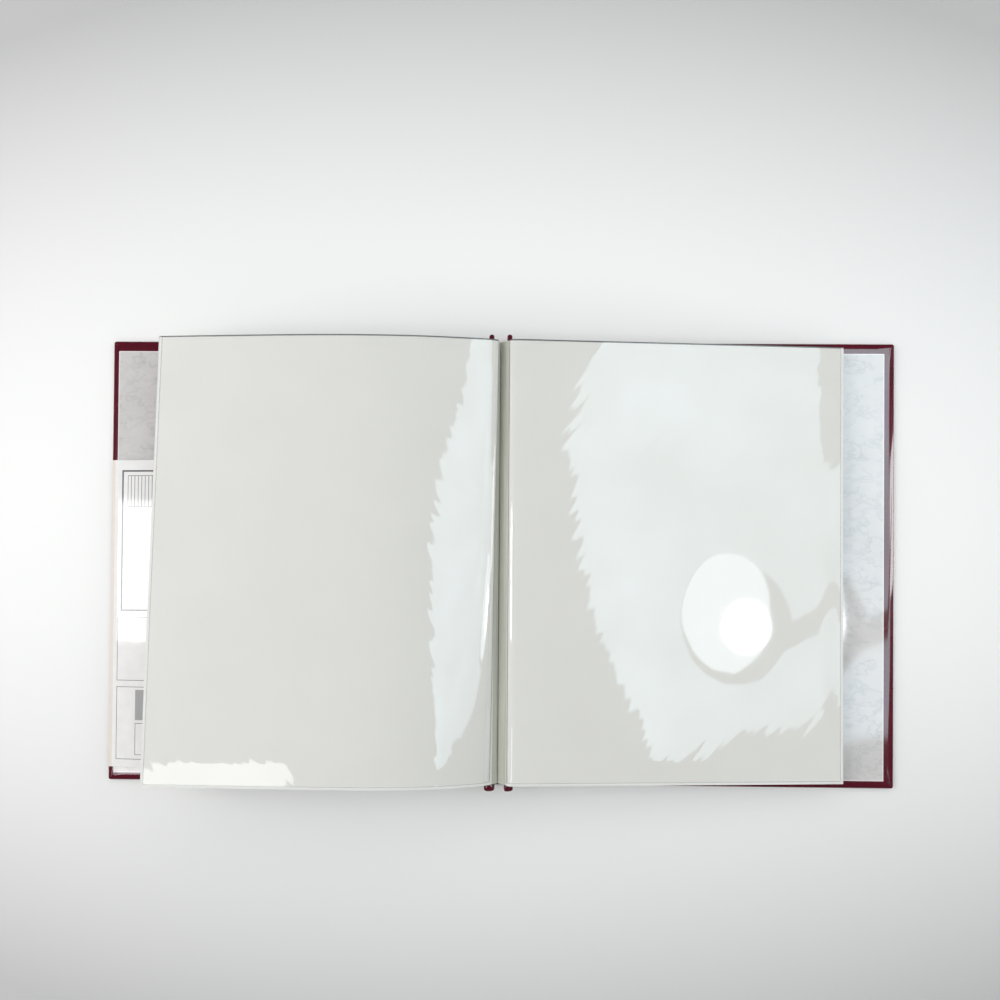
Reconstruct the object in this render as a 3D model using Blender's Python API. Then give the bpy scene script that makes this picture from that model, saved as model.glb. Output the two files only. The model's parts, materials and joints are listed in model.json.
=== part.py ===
"""Post-bound photo album lying open, with top-loading page protectors.

Metres, +Z up. +X points to the back cover and +Y to the head of the pages. The origin is on the
underside of the spine, at its centre. "Left" leaves lie on the front cover, "right" ones on the back.
"""

import math

import bmesh
import bpy
from mathutils import Vector

# Page inserts and the clear pockets that hold them
INSERT_WIDTH = 0.2159
INSERT_HEIGHT = 0.2794
INSERT_THICKNESS = 0.00016
FILM_THICKNESS = 0.00008
POCKET_CLEARANCE = 0.00004
SEAM_WIDTH = 0.0015
SEAM_CLEARANCE = 0.0003
MOUTH_MARGIN = 0.0008

# Leaves: how many, how far apart, and how they lie when the album is open
LEAVES_PER_SIDE = 5
LEAF_GAP = 0.00012
STRIP_GAP = 0.0003
STRIP_LEAN_DEG = 45.0
FRONT_OUTER_STRIP_LEAN = 0.003
BACK_OUTER_STRIP_LEAN = 0.006
CREASE_GAP = 0.00035
STRIP_END_GAP = 0.0009
LEFT_TOP_LEAF_RISE_DEG = 4.6
LEFT_LOW_LEAF_DROP_DEG = 3.5
RIGHT_LEAF_DROP_DEG = 4.0

# Arch of the left leaves: slope of the top sheet above the straight line from its crease to its
# fore-edge, in degrees, up to each distance from the crease, and how much of it each leaf takes
ARCH_SPANS = ((0.004, 36.0), (0.008, 25.0), (0.014, 14.0), (0.026, 6.4), (0.045, 3.0), (0.085, 0.3), (0.130, -3.2))
ARCH_SHARES = (1.0, 0.35, 0.20, 0.10, 0.0)

# Boards, leatherette and lining
BOARD_THICKNESS = 0.0020
WRAP_THICKNESS = 0.0005
LINING_THICKNESS = 0.0003
SEAT_GAP = 0.0001
BOARD_CLEARANCE = 0.0002
TURN_IN_WIDTH = 0.014
HEAD_BORDER = 0.006
TAIL_BORDER = 0.005
FRONT_FORE_BORDER = 0.004
BACK_FORE_BORDER = 0.007
COVER_OVERHANG = 0.005
FORE_OVERHANG = 0.0004
COVER_CORNER_RADIUS = 0.003
COVER_EDGE_ROUND = 0.0007
JOINT_AXIS_HEIGHT = 0.001
JOINT_GAP = 0.0003
LINING_JOINT_MARGIN = 0.0006
CLOSED_CLEARANCE = 0.0006

# Binding flaps and posts
FLAP_HEIGHT = 0.0175
FLAP_END_OVERHANG = 0.001
FLAP_BOARD_THICKNESS = 0.0020
FLAP_WRAP_THICKNESS = 0.0006
FLAP_EDGE_ROUND = 0.0010
FLAP_SEAT_GAP = 0.0002
FLAP_STRIP_GAP = 0.0003
STRIP_FLAP_RISE = 0.0003
POST_COUNT = 3
POST_SPACING = 0.108
POST_DIAMETER = 0.005
POST_HEAD_DIAMETER = 0.009
POST_HEAD_THICKNESS = 0.0014
POST_HEAD_CHAMFER = 0.0004
POST_HOLE_CLEARANCE = 0.0003
POST_END_SETBACK = 0.0008
SCREW_DIAMETER = 0.003
SCREW_LENGTH = 0.0075
SCREW_BORE_CLEARANCE = 0.0001
SCREW_TIP_ROOM = 0.0005
SLOT_WIDTH = 0.0012
SLOT_DEPTH = 0.0007

# Loose card tucked inside the front cover
CARD_WIDTH = 0.140
CARD_HEIGHT = 0.2032
CARD_THICKNESS = 0.0003
CARD_FORE_INSET = 0.0007
CARD_TAIL_INSET = 0.009

# Facets
CORNER_STEPS = 4
ROUND_STEPS = 24
EDGE_STEPS = 2

# Sizes that follow from the ones above
LEAF_WIDTH = INSERT_WIDTH + 2 * (SEAM_WIDTH + SEAM_CLEARANCE)
LEAF_HEIGHT = INSERT_HEIGHT + SEAM_WIDTH + SEAM_CLEARANCE + MOUTH_MARGIN
LEAF_THICKNESS = INSERT_THICKNESS + 2 * (FILM_THICKNESS + POCKET_CLEARANCE)
STRIP_LEAN = math.radians(STRIP_LEAN_DEG)
SIDE_LEAF_DROP = math.radians(max(RIGHT_LEAF_DROP_DEG, LEFT_LOW_LEAF_DROP_DEG))
LEAF_PITCH = (LEAF_THICKNESS + LEAF_GAP) / math.sin(STRIP_LEAN - SIDE_LEAF_DROP)
STRIP_THICKNESS = LEAF_PITCH - STRIP_GAP
OUTER_STRIP_X = (LEAVES_PER_SIDE - 0.5) * LEAF_PITCH

COVER_HEIGHT = LEAF_HEIGHT + 2 * COVER_OVERHANG
WRAP_CAVITY_LOW = WRAP_THICKNESS
WRAP_CAVITY_HIGH = WRAP_CAVITY_LOW + BOARD_THICKNESS + 2 * SEAT_GAP
WRAP_TOP = WRAP_CAVITY_HIGH + WRAP_THICKNESS
LINING_LOW = WRAP_TOP + SEAT_GAP
COVER_THICKNESS = LINING_LOW + LINING_THICKNESS

SPINE_TOP = WRAP_THICKNESS + SEAT_GAP + BOARD_THICKNESS
FLAP_LOW = SPINE_TOP + FLAP_SEAT_GAP
FLAP_TOP = FLAP_LOW + FLAP_HEIGHT
FLAP_THICKNESS = FLAP_BOARD_THICKNESS + 2 * (FLAP_WRAP_THICKNESS + SEAT_GAP)
FLAP_INNER = OUTER_STRIP_X + STRIP_THICKNESS / 2 + FLAP_STRIP_GAP
FLAP_OUTER = FLAP_INNER + FLAP_THICKNESS
HEAD_INNER = FLAP_OUTER + SEAT_GAP
HEAD_OUTER = HEAD_INNER + POST_HEAD_THICKNESS
POST_AXIS_Z = FLAP_LOW + FLAP_HEIGHT / 2
POST_HOLE_RADIUS = POST_DIAMETER / 2 + POST_HOLE_CLEARANCE

JOINT_AXIS_X = HEAD_OUTER + CLOSED_CLEARANCE + CARD_THICKNESS + SEAT_GAP + COVER_THICKNESS - JOINT_AXIS_HEIGHT
OUTER_BEND_Z = FLAP_TOP + STRIP_FLAP_RISE
LONGEST_STRIP_LEAN = max(FRONT_OUTER_STRIP_LEAN, BACK_OUTER_STRIP_LEAN)
TOP_HINGE_Z = OUTER_BEND_Z + LONGEST_STRIP_LEAN * math.cos(STRIP_LEAN)
TOP_HINGE_Z += (LEAVES_PER_SIDE - 1) * LEAF_PITCH * math.sin(STRIP_LEAN)
COVER_REACH = TOP_HINGE_Z + CREASE_GAP + LEAF_WIDTH + FORE_OVERHANG - JOINT_AXIS_HEIGHT

FRONT = -1
BACK = 1
COVER_NAMES = {FRONT: "front", BACK: "back"}
FORE_BORDERS = {FRONT: FRONT_FORE_BORDER, BACK: BACK_FORE_BORDER}
OUTER_STRIP_LEANS = {FRONT: FRONT_OUTER_STRIP_LEAN, BACK: BACK_OUTER_STRIP_LEAN}
LEAF_NAMES = {FRONT: "left", BACK: "right"}


def clear_scene():
    for old in list(bpy.data.objects):
        bpy.data.objects.remove(old, do_unlink=True)


def principled(name, colour, roughness, metallic=0.0, alpha=1.0):
    material = bpy.data.materials.new(name)
    material.use_nodes = True
    shader = material.node_tree.nodes["Principled BSDF"]
    shader.inputs["Base Color"].default_value = (*colour, 1.0)
    shader.inputs["Roughness"].default_value = roughness
    shader.inputs["Metallic"].default_value = metallic
    shader.inputs["Alpha"].default_value = alpha
    return material


def finish_mesh(name, form):
    bmesh.ops.recalc_face_normals(form, faces=form.faces)
    mesh = bpy.data.meshes.new(name)
    form.to_mesh(mesh)
    form.free()
    return mesh


def extruded(name, outline, depth):
    """Closed prism: an outline of points and the vector that it is swept along."""
    form = bmesh.new()
    low = [form.verts.new(Vector(point)) for point in outline]
    high = [form.verts.new(Vector(point) + Vector(depth)) for point in outline]
    form.faces.new(low)
    form.faces.new(high)
    for index in range(len(outline)):
        after = (index + 1) % len(outline)
        form.faces.new((low[index], low[after], high[after], high[index]))
    return finish_mesh(name, form)


def block(name, low, high):
    """Box between two corners."""
    outline = [
        (low[0], low[1], low[2]),
        (high[0], low[1], low[2]),
        (high[0], high[1], low[2]),
        (low[0], high[1], low[2]),
    ]
    return extruded(name, outline, (0, 0, high[2] - low[2]))


def rounded_board(name, side, inner, outer, half_height, low, high, radius):
    """Board seen from above, with its two fore-edge corners rounded."""
    outline = [(side * inner, -half_height, low)]
    for centre_y, start in ((-half_height + radius, -90), (half_height - radius, 0)):
        for step in range(CORNER_STEPS + 1):
            angle = math.radians(start + 90 * step / CORNER_STEPS)
            reach = outer - radius + radius * math.cos(angle)
            outline.append((side * reach, centre_y + radius * math.sin(angle), low))
    outline.append((side * inner, half_height, low))
    return extruded(name, outline, (0, 0, high - low))


def turned(name, profile, y, z):
    """Solid of revolution about a line along X: profile points are (x, radius), ends on the axis."""
    form = bmesh.new()
    rings = []
    for x, radius in profile:
        if radius == 0:
            rings.append([form.verts.new((x, y, z))] * ROUND_STEPS)
            continue
        ring = []
        for step in range(ROUND_STEPS):
            angle = 2 * math.pi * step / ROUND_STEPS
            ring.append(form.verts.new((x, y + radius * math.cos(angle), z + radius * math.sin(angle))))
        rings.append(ring)
    for first, second in zip(rings, rings[1:]):
        for step in range(ROUND_STEPS):
            after = (step + 1) % ROUND_STEPS
            corners = [first[step], first[after], second[after], second[step]]
            form.faces.new(list(dict.fromkeys(corners)))
    mesh = finish_mesh(name, form)
    mesh.shade_smooth()
    mesh.set_sharp_from_angle(angle=math.radians(40))
    return mesh


def add_piece(name, mesh, material, parent=None):
    piece = bpy.data.objects.new(name, mesh)
    bpy.context.collection.objects.link(piece)
    if not mesh.materials:
        mesh.materials.append(material)
    piece.parent = parent
    return piece


def add_cutter(name, mesh, parent=None):
    cutter = bpy.data.objects.new(name, mesh)
    bpy.context.collection.objects.link(cutter)
    cutter.hide_render = True
    cutter.display_type = "WIRE"
    cutter.parent = parent
    return cutter


def add_axis(name, place, tilt=0.0):
    """Empty on a joint's axis, turned about Y."""
    axis = bpy.data.objects.new(name, None)
    bpy.context.collection.objects.link(axis)
    axis.location = place
    axis.rotation_euler = (0, tilt, 0)
    return axis


def cut(piece, cutter):
    modifier = piece.modifiers.new("cut", "BOOLEAN")
    modifier.operation = "DIFFERENCE"
    modifier.solver = "EXACT"
    modifier.object = cutter


def round_edges(piece, width):
    modifier = piece.modifiers.new("round", "BEVEL")
    modifier.width = width
    modifier.segments = EDGE_STEPS
    modifier.limit_method = "ANGLE"
    modifier.angle_limit = math.radians(50)


def post_rows():
    middle = (POST_COUNT - 1) / 2
    return [(row - middle) * POST_SPACING for row in range(POST_COUNT)]


def leaf_hinge(side, index):
    """Crease of a leaf, as distances out from the middle and up. Leaf 1 is the innermost."""
    steps_in = LEAVES_PER_SIDE - index
    lean = OUTER_STRIP_LEANS[side]
    out = OUTER_STRIP_X + lean * math.sin(STRIP_LEAN) - steps_in * LEAF_PITCH * math.cos(STRIP_LEAN)
    up = OUTER_BEND_Z + lean * math.cos(STRIP_LEAN) + steps_in * LEAF_PITCH * math.sin(STRIP_LEAN)
    return out, up


def leaf_rise(side, index):
    """Angle of a leaf's fore-edge above level when the album lies open, in radians."""
    if side == BACK:
        return -math.radians(RIGHT_LEAF_DROP_DEG)
    share = (index - 1) / max(1, LEAVES_PER_SIDE - 1)
    fan = LEFT_TOP_LEAF_RISE_DEG + LEFT_LOW_LEAF_DROP_DEG
    return math.radians(LEFT_TOP_LEAF_RISE_DEG - fan * share)


def leaf_spans(side, index):
    """Straight spans of a leaf's section: where each ends and its slope from the leaf's own line."""
    outer = CREASE_GAP + LEAF_WIDTH
    share = 0.0 if side == BACK else ARCH_SHARES[min(index, len(ARCH_SHARES)) - 1]
    if share == 0:
        return [(outer, 0.0)]
    spans = []
    reached, height = 0.0, 0.0
    for end, slope_deg in ARCH_SPANS:
        slope = math.radians(share * slope_deg)
        spans.append((end, slope))
        height += (end - reached) * math.sin(slope)
        reached = end
    spans.append((outer, -math.asin(height / (outer - reached))))
    return spans


def leaf_path(side, index, start, end):
    """Middle of a leaf's section between two distances along it, from its crease.

    Gives each point, out and up from the crease, with the step there for one unit of thickness."""
    points = []
    place = Vector((0.0, 0.0))
    reached = 0.0
    normal_before = None
    for span_end, slope in leaf_spans(side, index):
        along = Vector((math.cos(slope), math.sin(slope)))
        normal = Vector((-math.sin(slope), math.cos(slope)))
        if reached <= start < span_end:
            points.append((place + along * (start - reached), normal))
        elif start < reached < end:
            mitre = (normal_before + normal) / (1 + normal_before.dot(normal))
            points.append((place.copy(), mitre))
        if reached < end <= span_end:
            points.append((place + along * (end - reached), normal))
        place = place + along * (span_end - reached)
        reached = span_end
        normal_before = normal
    return points


def leaf_sheet(name, side, path, low, high, foot, head):
    """Sheet that follows a leaf's section, between two heights off its middle, from foot to head."""
    upper = [point + step * high for point, step in path]
    lower = [point + step * low for point, step in reversed(path)]
    outline = [(side * point.x, foot, point.y) for point in upper + lower]
    return extruded(name, outline, (0, head - foot, 0))


def cavity_box(side, near, far, half_height, low, high):
    """Two opposite corners of a box on one side of the spine."""
    ends = sorted((side * near, side * far))
    return (ends[0], -half_height, low), (ends[1], half_height, high)


def make_cover(side, looks):
    """Board in its leatherette tray, with the lining laid over the turn-ins."""
    label = COVER_NAMES[side] + "_cover"
    axis = add_axis(label + "_axis", (side * JOINT_AXIS_X, 0, JOINT_AXIS_HEIGHT))
    floor = -JOINT_AXIS_HEIGHT
    half_height = COVER_HEIGHT / 2
    past_joint = -JOINT_GAP

    wrap_mesh = rounded_board(label + "_wrap", side, JOINT_GAP, COVER_REACH, half_height,
                              floor, floor + WRAP_TOP, COVER_CORNER_RADIUS)
    wrap = add_piece(label + "_wrap", wrap_mesh, looks["leatherette"], axis)
    round_edges(wrap, COVER_EDGE_ROUND)
    cavity = cavity_box(side, past_joint, COVER_REACH - WRAP_THICKNESS, half_height - WRAP_THICKNESS,
                        floor + WRAP_CAVITY_LOW, floor + WRAP_CAVITY_HIGH)
    cut(wrap, add_cutter(label + "_board_room", block(label + "_board_room", *cavity), axis))
    window = cavity_box(side, past_joint, COVER_REACH - TURN_IN_WIDTH, half_height - TURN_IN_WIDTH,
                        floor + WRAP_CAVITY_LOW + BOARD_THICKNESS, floor + COVER_THICKNESS)
    cut(wrap, add_cutter(label + "_window", block(label + "_window", *window), axis))

    edge = WRAP_THICKNESS + BOARD_CLEARANCE
    board_low = floor + WRAP_CAVITY_LOW + SEAT_GAP
    board_mesh = rounded_board(label + "_board", side, JOINT_GAP, COVER_REACH - edge, half_height - edge,
                               board_low, board_low + BOARD_THICKNESS, COVER_CORNER_RADIUS - edge)
    add_piece(label + "_board", board_mesh, looks["board"], axis)

    ends = sorted((side * (JOINT_GAP + LINING_JOINT_MARGIN), side * (COVER_REACH - FORE_BORDERS[side])))
    lining_low = (ends[0], -half_height + TAIL_BORDER, floor + LINING_LOW)
    lining_high = (ends[1], half_height - HEAD_BORDER, floor + COVER_THICKNESS)
    lining = block(label + "_lining", lining_low, lining_high)
    add_piece(label + "_lining", lining, looks["lining"], axis)


def make_spine(looks):
    """Spine board in a channel of leatherette whose wings reach out to the two cover joints."""
    half_height = COVER_HEIGHT / 2
    wing = JOINT_AXIS_X - JOINT_GAP
    board_half = FLAP_OUTER
    channel_half = board_half + BOARD_CLEARANCE
    inside = half_height - WRAP_THICKNESS

    sheet = block("spine_wrap", (-wing, -half_height, 0), (wing, half_height, SPINE_TOP))
    wrap = add_piece("spine_wrap", sheet, looks["leatherette"])
    room = block("spine_board_room", (-2 * wing, -inside, WRAP_THICKNESS), (2 * wing, inside, 2 * SPINE_TOP))
    cut(wrap, add_cutter("spine_board_room", room))
    for side in (FRONT, BACK):
        label = COVER_NAMES[side] + "_wing_room"
        low, high = cavity_box(side, channel_half, 2 * wing, COVER_HEIGHT, WRAP_THICKNESS, 2 * SPINE_TOP)
        cut(wrap, add_cutter(label, block(label, low, high)))

    board_low = WRAP_THICKNESS + SEAT_GAP
    board_end = inside - BOARD_CLEARANCE
    board = block("spine_board", (-board_half, -board_end, board_low), (board_half, board_end, SPINE_TOP))
    add_piece("spine_board", board, looks["board"])


def make_post_hole_cutter():
    form = bmesh.new()
    reach = 2 * JOINT_AXIS_X
    for y in post_rows():
        ends = []
        for x in (-reach, reach):
            ring = []
            for step in range(ROUND_STEPS):
                angle = 2 * math.pi * step / ROUND_STEPS
                place = (x, y + POST_HOLE_RADIUS * math.cos(angle),
                         POST_AXIS_Z + POST_HOLE_RADIUS * math.sin(angle))
                ring.append(form.verts.new(place))
            form.faces.new(ring)
            ends.append(ring)
        for step in range(ROUND_STEPS):
            after = (step + 1) % ROUND_STEPS
            form.faces.new((ends[0][step], ends[0][after], ends[1][after], ends[1][step]))
    return add_cutter("post_holes", finish_mesh("post_holes", form))


def make_flap(side, looks, post_holes):
    """Binding flap: a board in a leatherette sleeve that is open along its foot."""
    label = COVER_NAMES[side] + "_flap"
    half_height = COVER_HEIGHT / 2 + FLAP_END_OVERHANG
    below = FLAP_LOW - 2 * FLAP_EDGE_ROUND
    low, high = cavity_box(side, FLAP_INNER, FLAP_OUTER, half_height, below, FLAP_TOP)
    wrap = add_piece(label + "_wrap", block(label + "_wrap", low, high), looks["leatherette"])
    round_edges(wrap, FLAP_EDGE_ROUND)
    foot_low, foot_high = cavity_box(side, 0, JOINT_AXIS_X, COVER_HEIGHT, -FLAP_TOP, FLAP_LOW)
    cut(wrap, add_cutter(label + "_foot", block(label + "_foot", foot_low, foot_high)))
    room_low, room_high = cavity_box(side, FLAP_INNER + FLAP_WRAP_THICKNESS, FLAP_OUTER - FLAP_WRAP_THICKNESS,
                                     half_height - FLAP_WRAP_THICKNESS, 0, FLAP_TOP - FLAP_WRAP_THICKNESS)
    cut(wrap, add_cutter(label + "_board_room", block(label + "_board_room", room_low, room_high)))
    cut(wrap, post_holes)

    skin = FLAP_WRAP_THICKNESS + SEAT_GAP
    board_low, board_high = cavity_box(side, FLAP_INNER + skin, FLAP_OUTER - skin, half_height - skin,
                                       FLAP_LOW, FLAP_TOP - skin)
    board = add_piece(label + "_board", block(label + "_board", board_low, board_high), looks["board"])
    cut(board, post_holes)


def make_posts(looks):
    """Barrels with a head on the back flap, and slotted screws that go in from the front flap."""
    barrel_end = -(FLAP_OUTER - POST_END_SETBACK)
    screw_tip = -HEAD_INNER + SCREW_LENGTH
    bore_end = screw_tip + SCREW_TIP_ROOM
    head_radius = POST_HEAD_DIAMETER / 2
    head_top_radius = head_radius - POST_HEAD_CHAMFER
    barrel_radius = POST_DIAMETER / 2
    screw_radius = SCREW_DIAMETER / 2
    bore_radius = screw_radius + SCREW_BORE_CLEARANCE
    chamfer_start = HEAD_OUTER - POST_HEAD_CHAMFER
    for number, y in enumerate(reversed(post_rows()), start=1):
        barrel = [
            (bore_end, 0),
            (bore_end, bore_radius),
            (barrel_end, bore_radius),
            (barrel_end, barrel_radius),
            (HEAD_INNER, barrel_radius),
            (HEAD_INNER, head_radius),
            (chamfer_start, head_radius),
            (HEAD_OUTER, head_top_radius),
            (HEAD_OUTER, 0),
        ]
        name = f"post_barrel_{number}"
        add_piece(name, turned(name, barrel, y, POST_AXIS_Z), looks["metal"])

        screw = [
            (screw_tip, 0),
            (screw_tip, screw_radius),
            (-HEAD_INNER, screw_radius),
            (-HEAD_INNER, head_radius),
            (-chamfer_start, head_radius),
            (-HEAD_OUTER, head_top_radius),
            (-HEAD_OUTER, 0),
        ]
        name = f"post_screw_{number}"
        axis = add_axis(name + "_axis", (-HEAD_OUTER, y, POST_AXIS_Z))
        mesh = turned(name, [(x + HEAD_OUTER, radius) for x, radius in screw], 0, 0)
        piece = add_piece(name, mesh, looks["metal"], axis)
        slot = block(name + "_slot", (-SLOT_DEPTH, -POST_HEAD_DIAMETER, -SLOT_WIDTH / 2),
                     (SLOT_DEPTH, POST_HEAD_DIAMETER, SLOT_WIDTH / 2))
        cut(piece, add_cutter(name + "_slot", slot, axis))


def make_strip(side, index, looks, post_holes):
    """Punched binding edge: upright between the flaps, then leaning out to the leaf's crease."""
    label = f"{LEAF_NAMES[side]}_leaf_{index}_strip"
    half = STRIP_THICKNESS / 2
    middle = (index - 0.5) * LEAF_PITCH
    hinge_out, hinge_up = leaf_hinge(side, index)
    along = Vector((math.sin(STRIP_LEAN), math.cos(STRIP_LEAN)))
    across = Vector((math.cos(STRIP_LEAN), -math.sin(STRIP_LEAN)))
    end = Vector((hinge_out, hinge_up)) - along * STRIP_END_GAP
    bend_up = hinge_up - (hinge_out - middle) / math.tan(STRIP_LEAN)
    bend_shift = half * math.tan(STRIP_LEAN / 2)
    foot = FLAP_LOW
    section = [
        (middle - half, foot),
        (middle + half, foot),
        (middle + half, bend_up - bend_shift),
        tuple(end + across * half),
        tuple(end - across * half),
        (middle - half, bend_up + bend_shift),
    ]
    outline = [(side * out, -LEAF_HEIGHT / 2, up) for out, up in section]
    strip = add_piece(label, extruded(label, outline, (0, LEAF_HEIGHT, 0)), looks["strip"])
    cut(strip, post_holes)


def make_leaf(side, index, looks):
    """Page protector on its crease: front film, back film with welded seams, and the insert."""
    label = f"{LEAF_NAMES[side]}_leaf_{index}"
    hinge_out, hinge_up = leaf_hinge(side, index)
    rise = leaf_rise(side, index)
    axis = add_axis(label + "_axis", (side * hinge_out, 0, hinge_up), -side * rise)
    half_leaf = LEAF_HEIGHT / 2
    half_thickness = LEAF_THICKNESS / 2
    inner, outer = CREASE_GAP, CREASE_GAP + LEAF_WIDTH
    front_low = half_thickness - FILM_THICKNESS
    back_high = FILM_THICKNESS - half_thickness

    whole = leaf_path(side, index, inner, outer)
    front = leaf_sheet(label + "_front_film", side, whole, front_low, half_thickness, -half_leaf, half_leaf)
    add_piece(label + "_front_film", front, looks["film"], axis)

    back_top = front_low - POCKET_CLEARANCE
    sheet = leaf_sheet(label + "_back_film", side, whole, -half_thickness, back_top, -half_leaf, half_leaf)
    back = add_piece(label + "_back_film", sheet, looks["film"], axis)
    within = leaf_path(side, index, inner + SEAM_WIDTH, outer - SEAM_WIDTH)
    room = leaf_sheet(label + "_pocket", side, within, back_high, half_thickness,
                      -half_leaf + SEAM_WIDTH, half_leaf + SEAM_WIDTH)
    cut(back, add_cutter(label + "_pocket", room, axis))

    start = inner + SEAM_WIDTH + SEAM_CLEARANCE
    foot = -half_leaf + SEAM_WIDTH + SEAM_CLEARANCE
    page = leaf_path(side, index, start, start + INSERT_WIDTH)
    name = f"{LEAF_NAMES[side]}_insert_{index}"
    insert = leaf_sheet(name, side, page, -INSERT_THICKNESS / 2, INSERT_THICKNESS / 2, foot, foot + INSERT_HEIGHT)
    add_piece(name, insert, looks["paper"], axis)


def make_card(looks):
    """Loose card lying on the front lining, in from the fore-edge."""
    rest = JOINT_AXIS_X + COVER_REACH - CARD_FORE_INSET
    foot = -COVER_HEIGHT / 2 + CARD_TAIL_INSET
    low_z = COVER_THICKNESS + SEAT_GAP
    axis = add_axis("index_card_axis", (-rest, foot, low_z))
    card = block("index_card", (0, 0, 0), (CARD_WIDTH, CARD_HEIGHT, CARD_THICKNESS))
    add_piece("index_card", card, looks["card"], axis)


def make_looks():
    return {
        "leatherette": principled("burgundy_leatherette", (0.10, 0.004, 0.014), 0.38),
        "board": principled("greyboard", (0.36, 0.33, 0.29), 0.9),
        "lining": principled("marbled_lining", (0.72, 0.73, 0.75), 0.35),
        "film": principled("clear_film", (0.92, 0.95, 0.94), 0.08, alpha=0.3),
        "paper": principled("white_paper", (0.80, 0.81, 0.78), 0.75),
        "strip": principled("binding_strip", (0.42, 0.43, 0.38), 0.5),
        "metal": principled("post_metal", (0.72, 0.72, 0.70), 0.25, metallic=1.0),
        "card": principled("printed_card", (0.80, 0.77, 0.74), 0.3),
    }


def build_album():
    clear_scene()
    looks = make_looks()
    post_holes = make_post_hole_cutter()
    make_spine(looks)
    make_posts(looks)
    for side in (FRONT, BACK):
        make_cover(side, looks)
        make_flap(side, looks, post_holes)
        for index in range(1, LEAVES_PER_SIDE + 1):
            make_strip(side, index, looks, post_holes)
            make_leaf(side, index, looks)
    make_card(looks)


build_album()
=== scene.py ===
"""Looks of a post-bound photo album that lies open: clear page protectors over white inserts,
burgundy leatherette covers with a pale marbled lining, and a loose card inside the front cover.

Metres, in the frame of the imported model: +X to the back cover, +Y to the head, +Z up.
"""

import json
import math

import bmesh
import bpy
import numpy as np
from mathutils import Matrix, Vector


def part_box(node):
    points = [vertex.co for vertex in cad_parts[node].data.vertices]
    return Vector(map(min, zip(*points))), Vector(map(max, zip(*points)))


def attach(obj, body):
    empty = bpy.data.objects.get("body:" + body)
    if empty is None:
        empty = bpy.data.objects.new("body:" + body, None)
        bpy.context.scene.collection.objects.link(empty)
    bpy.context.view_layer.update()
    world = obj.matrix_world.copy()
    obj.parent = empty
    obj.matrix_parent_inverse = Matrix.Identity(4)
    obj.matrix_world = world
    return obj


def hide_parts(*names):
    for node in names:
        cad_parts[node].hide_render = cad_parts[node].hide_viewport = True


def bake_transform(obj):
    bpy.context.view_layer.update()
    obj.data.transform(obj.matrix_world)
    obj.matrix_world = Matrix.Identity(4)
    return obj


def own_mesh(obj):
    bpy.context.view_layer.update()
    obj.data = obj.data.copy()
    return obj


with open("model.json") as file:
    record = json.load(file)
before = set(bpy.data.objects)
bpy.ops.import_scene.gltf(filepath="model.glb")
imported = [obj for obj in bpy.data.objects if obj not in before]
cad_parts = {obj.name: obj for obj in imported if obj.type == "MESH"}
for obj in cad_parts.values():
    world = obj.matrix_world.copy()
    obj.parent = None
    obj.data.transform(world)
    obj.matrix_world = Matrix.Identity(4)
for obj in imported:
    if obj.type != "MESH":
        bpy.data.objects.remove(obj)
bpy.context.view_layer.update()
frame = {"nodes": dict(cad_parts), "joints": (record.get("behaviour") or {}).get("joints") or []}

MM = 0.001
LEFT = -1
RIGHT = 1
SIDE_NAMES = {LEFT: "left", RIGHT: "right"}
COVER_NAMES = {LEFT: "front", RIGHT: "back"}
LEAVES_PER_SIDE = 5
SEED = 7
WHITE = (1.0, 1.0, 1.0, 1.0)

# Page protectors: layers of a leaf, counted from its middle, and its welded border
FILM_LOW = 0.12 * MM
FILM_HIGH = 0.20 * MM
INSERT_HALF = 0.08 * MM
CREASE_GAP = 0.35 * MM
STRIP_END_GAP = 0.9 * MM
STRIP_LEAN = math.radians(45)
SEAM_WIDTH = 1.5 * MM
SEAM_CLEARANCE = 0.3 * MM
SEAM_FADE = 0.4 * MM
# Width of the dark line of painted shadow along the open end of a pocket
MOUTH_SHADOW_MARGIN = 0.4 * MM
CREASE_THICKNESS = 0.40 * MM
FORE_EDGE_DEPTH = 0.5 * MM

# How the leaves lie: slope of the sheet in degrees at distances from its crease, in millimetres
SLOPE_KNOTS = (0, 1.5, 3, 5, 7, 12, 20, 30, 45, 65, 85, 120, 160, 220)
LEFT_HEAD_SLOPE = (138, 136, 112, 46, 21, 13, 10.6, 9.8, 8.0, 4.6, 2.2, -1.6, -3.6, -3.7)
LEFT_MIDDLE_SLOPE = (108, 104, 84, 38, 19, 13.4, 12.7, 12.1, 11.2, 6.0, 1.6, -1.2, -1.7, -1.9)
LEFT_TAIL_SLOPE = (80, 76, 58, 39, 29, 23, 20.5, 17.5, 10.8, 4.8, 1.2, -0.6, -1.0, -1.1)
RIGHT_SLOPE = (84, 72, 36, 10, 1, -4.0, -4.8, -4.9, -4.9, -4.9, -4.9, -4.9, -4.9, -4.9)
LEFT_SHAPE_SHARE = (1.0, 0.62, 0.36, 0.18, 0.07)
TAIL_SPREAD = {LEFT: 2.2 * MM, RIGHT: 0.6 * MM}
SPREAD_RAMP = 4.0 * MM
GATHER = {LEFT: (0.0, 3.0 * MM, 4.0 * MM, 4.4 * MM, 4.4 * MM),
          RIGHT: (0.8 * MM, 1.4 * MM, 2.0 * MM, 2.5 * MM, 3.0 * MM)}
GATHER_RAMP = 14 * MM
SLOPE_STEP = 0.1 * MM

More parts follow.
